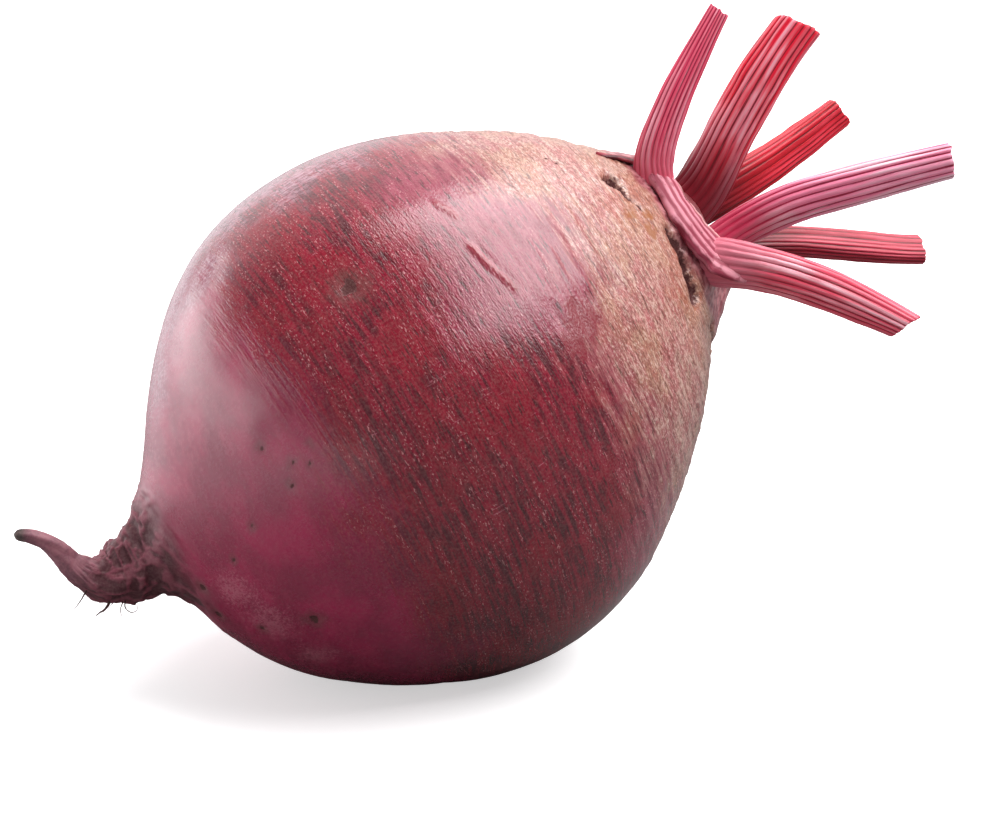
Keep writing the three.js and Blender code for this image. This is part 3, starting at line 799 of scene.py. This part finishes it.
# Strips of old leaf base on the crown, with the colours of their crests and grooves.
BANDS = {
    "leaf_base_1": dict(
        path=[[14.6, 12.0, 46.4], [12.2, 12.2, 45.6], [9.6, 13.0, 45.3], [7.0, 14.2, 45.0], [4.2, 15.0, 44.9],
              [1.5, 15.1, 45.0], [-1.6, 14.4, 45.6], [-4.4, 13.7, 46.8], [-8.4, 14.4, 49.6]],
        half_width=[1.2, 2.0, 2.3, 2.5, 2.8, 3.2, 3.4, 3.3, 2.4], thickness=1.2),
    "leaf_base_2": dict(
        path=[[18.6, 11.4, 39.0], [17.4, 11.0, 40.6], [16.0, 10.9, 42.3], [14.6, 10.9, 43.8],
              [12.8, 11.2, 45.4]],
        half_width=[0.15, 0.7, 0.95, 1.3, 1.2], thickness=0.45),
    "leaf_base_3": dict(
        path=[[-8.6, -9.4, 42.6], [-4.4, -13.4, 43.2], [1.4, -15.3, 43.6], [7.2, -14.2, 43.4],
              [11.6, -10.6, 42.8]],
        half_width=[0.5, 1.8, 2.3, 1.9, 0.5], thickness=1.0),
}
BAND_COLOURS = {
    "leaf_base_1": [(222, 140, 156), (150, 46, 70)],
    "leaf_base_2": [(170, 60, 76), (84, 14, 28)],
    "leaf_base_3": [(180, 100, 112), (112, 34, 50)],
}


def make_band(name, shift, path, half_width, thickness, seed):
    """A strip of old leaf base that lies along the crown. Its section is a flat ellipse, wide up the
    crown's slope and thin across it. Its outer side has fine ribs along the path and a rolled upper edge,
    and it wavers by a smooth noise."""
    t = np.linspace(0, 1, BAND_ROWS)
    line = through(path, t * (len(path) - 1))
    line = line + 0.12 * np.stack([noise(line / 2.6, 101 + seed + k, 2) for k in range(3)], -1)
    tangent = unit(np.gradient(line, axis=0))
    radial = unit(np.stack([line[:, 0] - CROWN_X, line[:, 1], 0 * t], -1))
    slope = 0.76 * np.array([0, 0, 1]) - 0.65 * radial
    up = unit(slope - np.sum(slope * tangent, 1, keepdims=True) * tangent)
    out = np.cross(tangent, up)
    out = out * np.sign(np.sum(out * radial, 1, keepdims=True))
    side = np.cross(out, tangent)
    half = through(half_width, t * (len(path) - 1))
    a = (np.arange(BAND_SIDES) + 0.5) * 2 * np.pi / BAND_SIDES
    across = np.sin(a)[None] * np.sign(np.sum(side * up, 1, keepdims=True))
    outer = np.maximum(0, np.cos(a))[None]
    ribs = np.cos(across * half * 5.0 + 0.9 * noise(np.stack([t * 9, 0 * t, 0 * t + seed], -1), 111)[:, None])
    roll = np.exp(-((across - 0.82) / 0.16) ** 2)
    edge_at = np.stack([t[:, None] * 14 + 0 * across, np.sin(a)[None] * 2 + 0 * half, 0 * across], -1)
    edge = 0.14 * noise(edge_at, 113, 2)
    wide = half * np.sin(a)[None] * (1 + edge * np.abs(np.sin(a))[None])
    thick = thickness * np.cos(a)[None] + outer * (0.06 * ribs + 0.22 * roll)
    rings = line[:, None] + side[:, None] * wide[..., None] + out[:, None] * thick[..., None]
    ends = [(point @ LIE.T + shift) * MM for point in (line[0], line[-1])]
    piece = build_mesh("beet_" + name, (rings @ LIE.T + shift) * MM, first=ends[0], last=ends[1])
    run = np.concatenate([[0], np.cumsum(np.linalg.norm(np.diff(line, axis=0), axis=1))])[:, None]
    grain = np.stack([run + 0 * wide, across * half, np.cos(a)[None] + 0 * wide], -1)
    add_field(piece, "grain_at", grain, [0, 0, 0], [0, 0, 0], "FLOAT_VECTOR")
    for field, values in [("groove", 0.5 - 0.5 * ribs), ("edge", roll * outer ** 0.5 + 0 * wide)]:
        add_field(piece, field, values, [0.5], [0.5])
    return piece


def band_flesh(name, ridge, groove):
    """Flesh of an old leaf base: mauve crests, dark grooves, a pale dry upper edge and small brown
    tears."""
    n = Nodes(name)
    grain_at = n.field("grain_at", vector=True)
    fibre = n.noise(n.stretch(grain_at, (0.35, 2.6, 2.6)), detail=4, roughness=0.65)
    patch = n.noise(n.stretch(grain_at, (0.5, 0.7, 0.7)), detail=4, roughness=0.6)
    colour = n.blend(n.ramp(n.calc("MULTIPLY_ADD", fibre, 0.9, n.field("groove")), 0.45, 1.35), ridge, groove)
    colour = n.blend(n.ramp(patch, 0.54, 0.68, 0, 0.75), colour, groove)
    colour = n.blend(n.calc("MULTIPLY", n.ramp(n.field("edge"), 0.2, 0.8), 0.8), colour, srgb(226, 172, 170))
    colour = n.blend(n.ramp(patch, 0.36, 0.30, 0, 0.8), colour, srgb(70, 28, 26))
    return n.surface(colour, n.ramp(fibre, 0.3, 0.7, 0.38, 0.6), n.bump(fibre, 0.15 * MM, 0.8), IOR=1.45)


# Rootlets by the taproot: path and radius at the foot.
ROOTLETS = [
    ([[2.4, 2.8, -58.4], [1.5, 3.3, -60.0], [0.9, 3.5, -61.2], [0.5, 3.6, -62.3]], 0.17),
    ([[-0.6, 1.8, -56.2], [-1.5, 2.2, -57.6], [-1.9, 2.4, -58.8], [-2.0, 2.5, -60.0]], 0.30),
    ([[-2.0, 1.4, -54.9], [-3.2, 2.4, -55.6], [-4.2, 2.9, -55.3], [-4.4, 3.0, -54.4],
      [-3.6, 2.8, -53.8]], 0.12),
    ([[-2.2, 1.4, -55.4], [-3.2, 1.8, -56.4], [-4.4, 2.0, -56.8]], 0.10),
    ([[1.0, -3.4, -53.4], [-1.0, -6.2, -55.0], [-2.0, -8.2, -57.4]], 0.14),
    ([[3.0, -1.6, -56.0], [4.0, -4.2, -58.0], [3.4, -6.4, -60.6]], 0.11),
    ([[2.0, -4.0, -51.0], [3.4, -7.0, -51.6], [4.2, -9.0, -53.4]], 0.12),
]
ROOTLET_CLEARANCE = 0.05


def make_rootlets(shift):
    """Fine dry rootlets on the taproot: each a thin round tube, swept along a short bent path that starts
    inside the taproot, and tapering to its tip. None of them reaches the floor."""
    parts = []
    for k, (path, radius) in enumerate(ROOTLETS):
        t = np.linspace(0, 1, ROOTLET_ROWS)
        line = through(path, t * (len(path) - 1))
        line = line + 0.12 * np.stack([noise(line * 1.3, 80 + k), noise(line * 1.3, 90 + k), 0 * t], -1)
        tangent = unit(np.gradient(line, axis=0))
        side = unit(np.cross(tangent, [0.31, 0.52, 0.79]))
        other = np.cross(tangent, side)
        a = np.arange(ROOTLET_SIDES) * 2 * np.pi / ROOTLET_SIDES
        reach = radius * (1 - 0.75 * t)[:, None]
        tube = line[:, None] + reach[..., None] * (np.cos(a)[None, :, None] * side[:, None]
                                                   + np.sin(a)[None, :, None] * other[:, None])
        place = tube @ LIE.T + shift
        place[..., 2] = np.maximum(place[..., 2], ROOTLET_CLEARANCE)
        ends = [(p @ LIE.T + shift) * MM for p in (line[0], line[-1])]
        parts.append(build_mesh(f"rootlet_{k + 1}", place[:, ::-1] * MM, first=ends[0], last=ends[1]))
    return parts


def plain_finish(name, colour, roughness):
    """A dry fibrous finish: one colour, mottled by a fine noise, with a fine bump."""
    n = Nodes(name)
    body = n.node("ShaderNodeTexCoord").outputs["Object"]
    fleck = n.noise(body, scale=1500, detail=3)
    shade = n.blend(n.ramp(fleck, 0.35, 0.65), tuple(0.6 * c for c in colour), colour)
    return n.surface(shade, roughness, n.bump(fleck, 0.05 * MM))


# Stage, in metres
FLOOR_REACH = 8.0
FLOOR_GLOW = 0.54
WORLD_TURN = (0.05, 0.7)
WORLD_STRENGTH = (0.31, 1.25)
AIM_HEIGHT = 0.04


def make_floor():
    """A wide plain pale floor. The camera sees it white. In bounced light it is a mid grey except on the far
    left, so that it throws no haze on the glossy underside."""
    mesh = bpy.data.meshes.new("floor")
    low, high = -FLOOR_REACH, FLOOR_REACH
    mesh.from_pydata([(low, low, 0), (high, low, 0), (high, high, 0), (low, high, 0)], [], [(0, 1, 2, 3)])
    floor = bpy.data.objects.new("floor", mesh)
    bpy.context.scene.collection.objects.link(floor)
    n = Nodes("floor_white")
    body = n.node("ShaderNodeTexCoord").outputs["Object"]
    seen = n.node("ShaderNodeLightPath").outputs["Is Camera Ray"]
    tone = n.blend(n.noise(body, scale=4, detail=2), srgb(236, 236, 238), srgb(240, 240, 240))
    across = n.node("ShaderNodeSeparateXYZ")
    n.feed(across.inputs[0], body)
    shade = n.blend(n.ramp(across.outputs[0], -0.06, -0.2), srgb(120, 120, 120), srgb(236, 236, 238))
    tone = n.blend(seen, shade, tone)
    lit = n.node("ShaderNodeBsdfPrincipled")
    n.feed(lit.inputs["Base Color"], tone)
    lit.inputs["Roughness"].default_value = 0.95
    lit.inputs["Specular IOR Level"].default_value = 0.1
    lit.inputs["Emission Color"].default_value = (1.0, 0.985, 0.99, 1.0)
    n.feed(lit.inputs["Emission Strength"], n.calc("MULTIPLY", seen, FLOOR_GLOW))
    n.feed(lit.inputs["Normal"], n.bump(n.noise(body, scale=600, detail=2), 0.02 * MM))
    output = n.node("ShaderNodeOutputMaterial")
    n.tree.links.new(lit.outputs[0], output.inputs[0])
    mesh.materials.append(n.material)


def make_light(name, toward, distance, size, long_axis, brightness):
    """A rectangular softbox seen from the beetroot in the direction given, facing it, with its long side
    along the axis given. Its power is its brightness times pi times its area."""
    light = bpy.data.lights.new(name, "AREA")
    light.shape = "RECTANGLE"
    light.size, light.size_y = size
    light.energy = brightness * math.pi * size[0] * size[1]
    item = bpy.data.objects.new(name, light)
    bpy.context.scene.collection.objects.link(item)
    back = Vector(toward).normalized()
    long_side = (Vector(long_axis) - back * back.dot(Vector(long_axis))).normalized()
    short_side = back.cross(long_side)
    facing = Matrix((long_side, short_side, back)).transposed().to_4x4()
    item.matrix_world = Matrix.Translation(Vector((0, 0, AIM_HEIGHT)) + back * distance) @ facing


def make_world():
    """Studio surroundings: white at the back, dimmer above and in front. The strength rises with the
    direction's y between the two values of WORLD_TURN."""
    world = bpy.data.worlds.new("studio")
    bpy.context.scene.world = world
    world.use_nodes = True
    tree = world.node_tree
    tree.nodes.clear()
    direction = tree.nodes.new("ShaderNodeTexCoord")
    split = tree.nodes.new("ShaderNodeSeparateXYZ")
    tree.links.new(direction.outputs["Generated"], split.inputs[0])
    rise = tree.nodes.new("ShaderNodeMapRange")
    rise.interpolation_type = "SMOOTHSTEP"
    tree.links.new(split.outputs["Y"], rise.inputs[0])
    for socket, value in zip(rise.inputs[1:5], WORLD_TURN + WORLD_STRENGTH):
        socket.default_value = value
    background = tree.nodes.new("ShaderNodeBackground")
    background.inputs["Color"].default_value = (1, 1, 1, 1)
    tree.links.new(rise.outputs[0], background.inputs["Strength"])
    output = tree.nodes.new("ShaderNodeOutputWorld")
    tree.links.new(background.outputs[0], output.inputs[0])


# The photograph's view: 17 degrees down, a long lens, and the bulb's middle up and left of the frame's centre.
LOOK_DOWN_DEG = 17
LENS = 140
SENSOR = 36
PICTURE = (1000, 840)
BULB_AT_PIXEL = (430, 400)
PIXELS_PER_MM = 6.61
CLIP = (0.05, 50)


def make_camera(bulb_middle):
    """Camera at the distance where a millimetre at the bulb's middle is PIXELS_PER_MM wide in the picture,
    moved sideways and up until that point falls on its pixel."""
    data = bpy.data.cameras.new("camera")
    data.lens, data.sensor_width = LENS, SENSOR
    data.clip_start, data.clip_end = CLIP
    item = bpy.data.objects.new("camera", data)
    bpy.context.scene.collection.objects.link(item)
    bpy.context.scene.camera = item
    down = math.radians(LOOK_DOWN_DEG)
    right = np.array([1, 0, 0])
    up = np.array([0, math.sin(down), math.cos(down)])
    ahead = np.array([0, math.cos(down), -math.sin(down)])
    distance = LENS / SENSOR * PICTURE[0] / PIXELS_PER_MM
    aside = (PICTURE[0] / 2 - BULB_AT_PIXEL[0]) / PIXELS_PER_MM
    above = (BULB_AT_PIXEL[1] - PICTURE[1] / 2) / PIXELS_PER_MM
    item.location = (bulb_middle - distance * ahead + aside * right + above * up) * MM
    item.rotation_euler = (math.pi / 2 - down, 0, 0)


root, SHIFT = make_root()
root.data.materials.append(root_skin())
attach(root, "root")
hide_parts("root")

for index, (stem_name, shape) in enumerate(STEMS.items()):
    stem = make_stem(stem_name, SHIFT, seed=index, **shape)
    tones = [srgb(*tone) for tone in STEM_COLOURS[stem_name]]
    stem.data.materials.append(stem_flesh(stem_name + "_flesh", *tones))
    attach(stem, "root")
    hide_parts(stem_name)

for index, (band_name, shape) in enumerate(BANDS.items()):
    band = make_band(band_name, SHIFT, seed=10 * index, **shape)
    tones = [srgb(*tone) for tone in BAND_COLOURS[band_name]]
    band.data.materials.append(band_flesh(band_name + "_flesh", *tones))
    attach(band, "root")

dry = plain_finish("rootlet_dry", srgb(96, 62, 62), 0.8)
for rootlet in make_rootlets(SHIFT):
    rootlet.data.materials.append(dry)
    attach(rootlet, "root")

make_floor()
make_world()
make_camera(SHIFT)
make_light("softbox_top", toward=(0.425, 0.053, 0.903), distance=2.2, size=(3.0, 1.9),
           long_axis=(0.605, -0.758, -0.241), brightness=6.0)
make_light("softbox_left", toward=(-0.97, 0.20, 0.08), distance=0.9, size=(1.25, 0.28),
           long_axis=(0, 1, 0), brightness=3.3)

scene = bpy.context.scene
scene.view_settings.view_transform = "Standard"
scene.view_settings.look = "None"
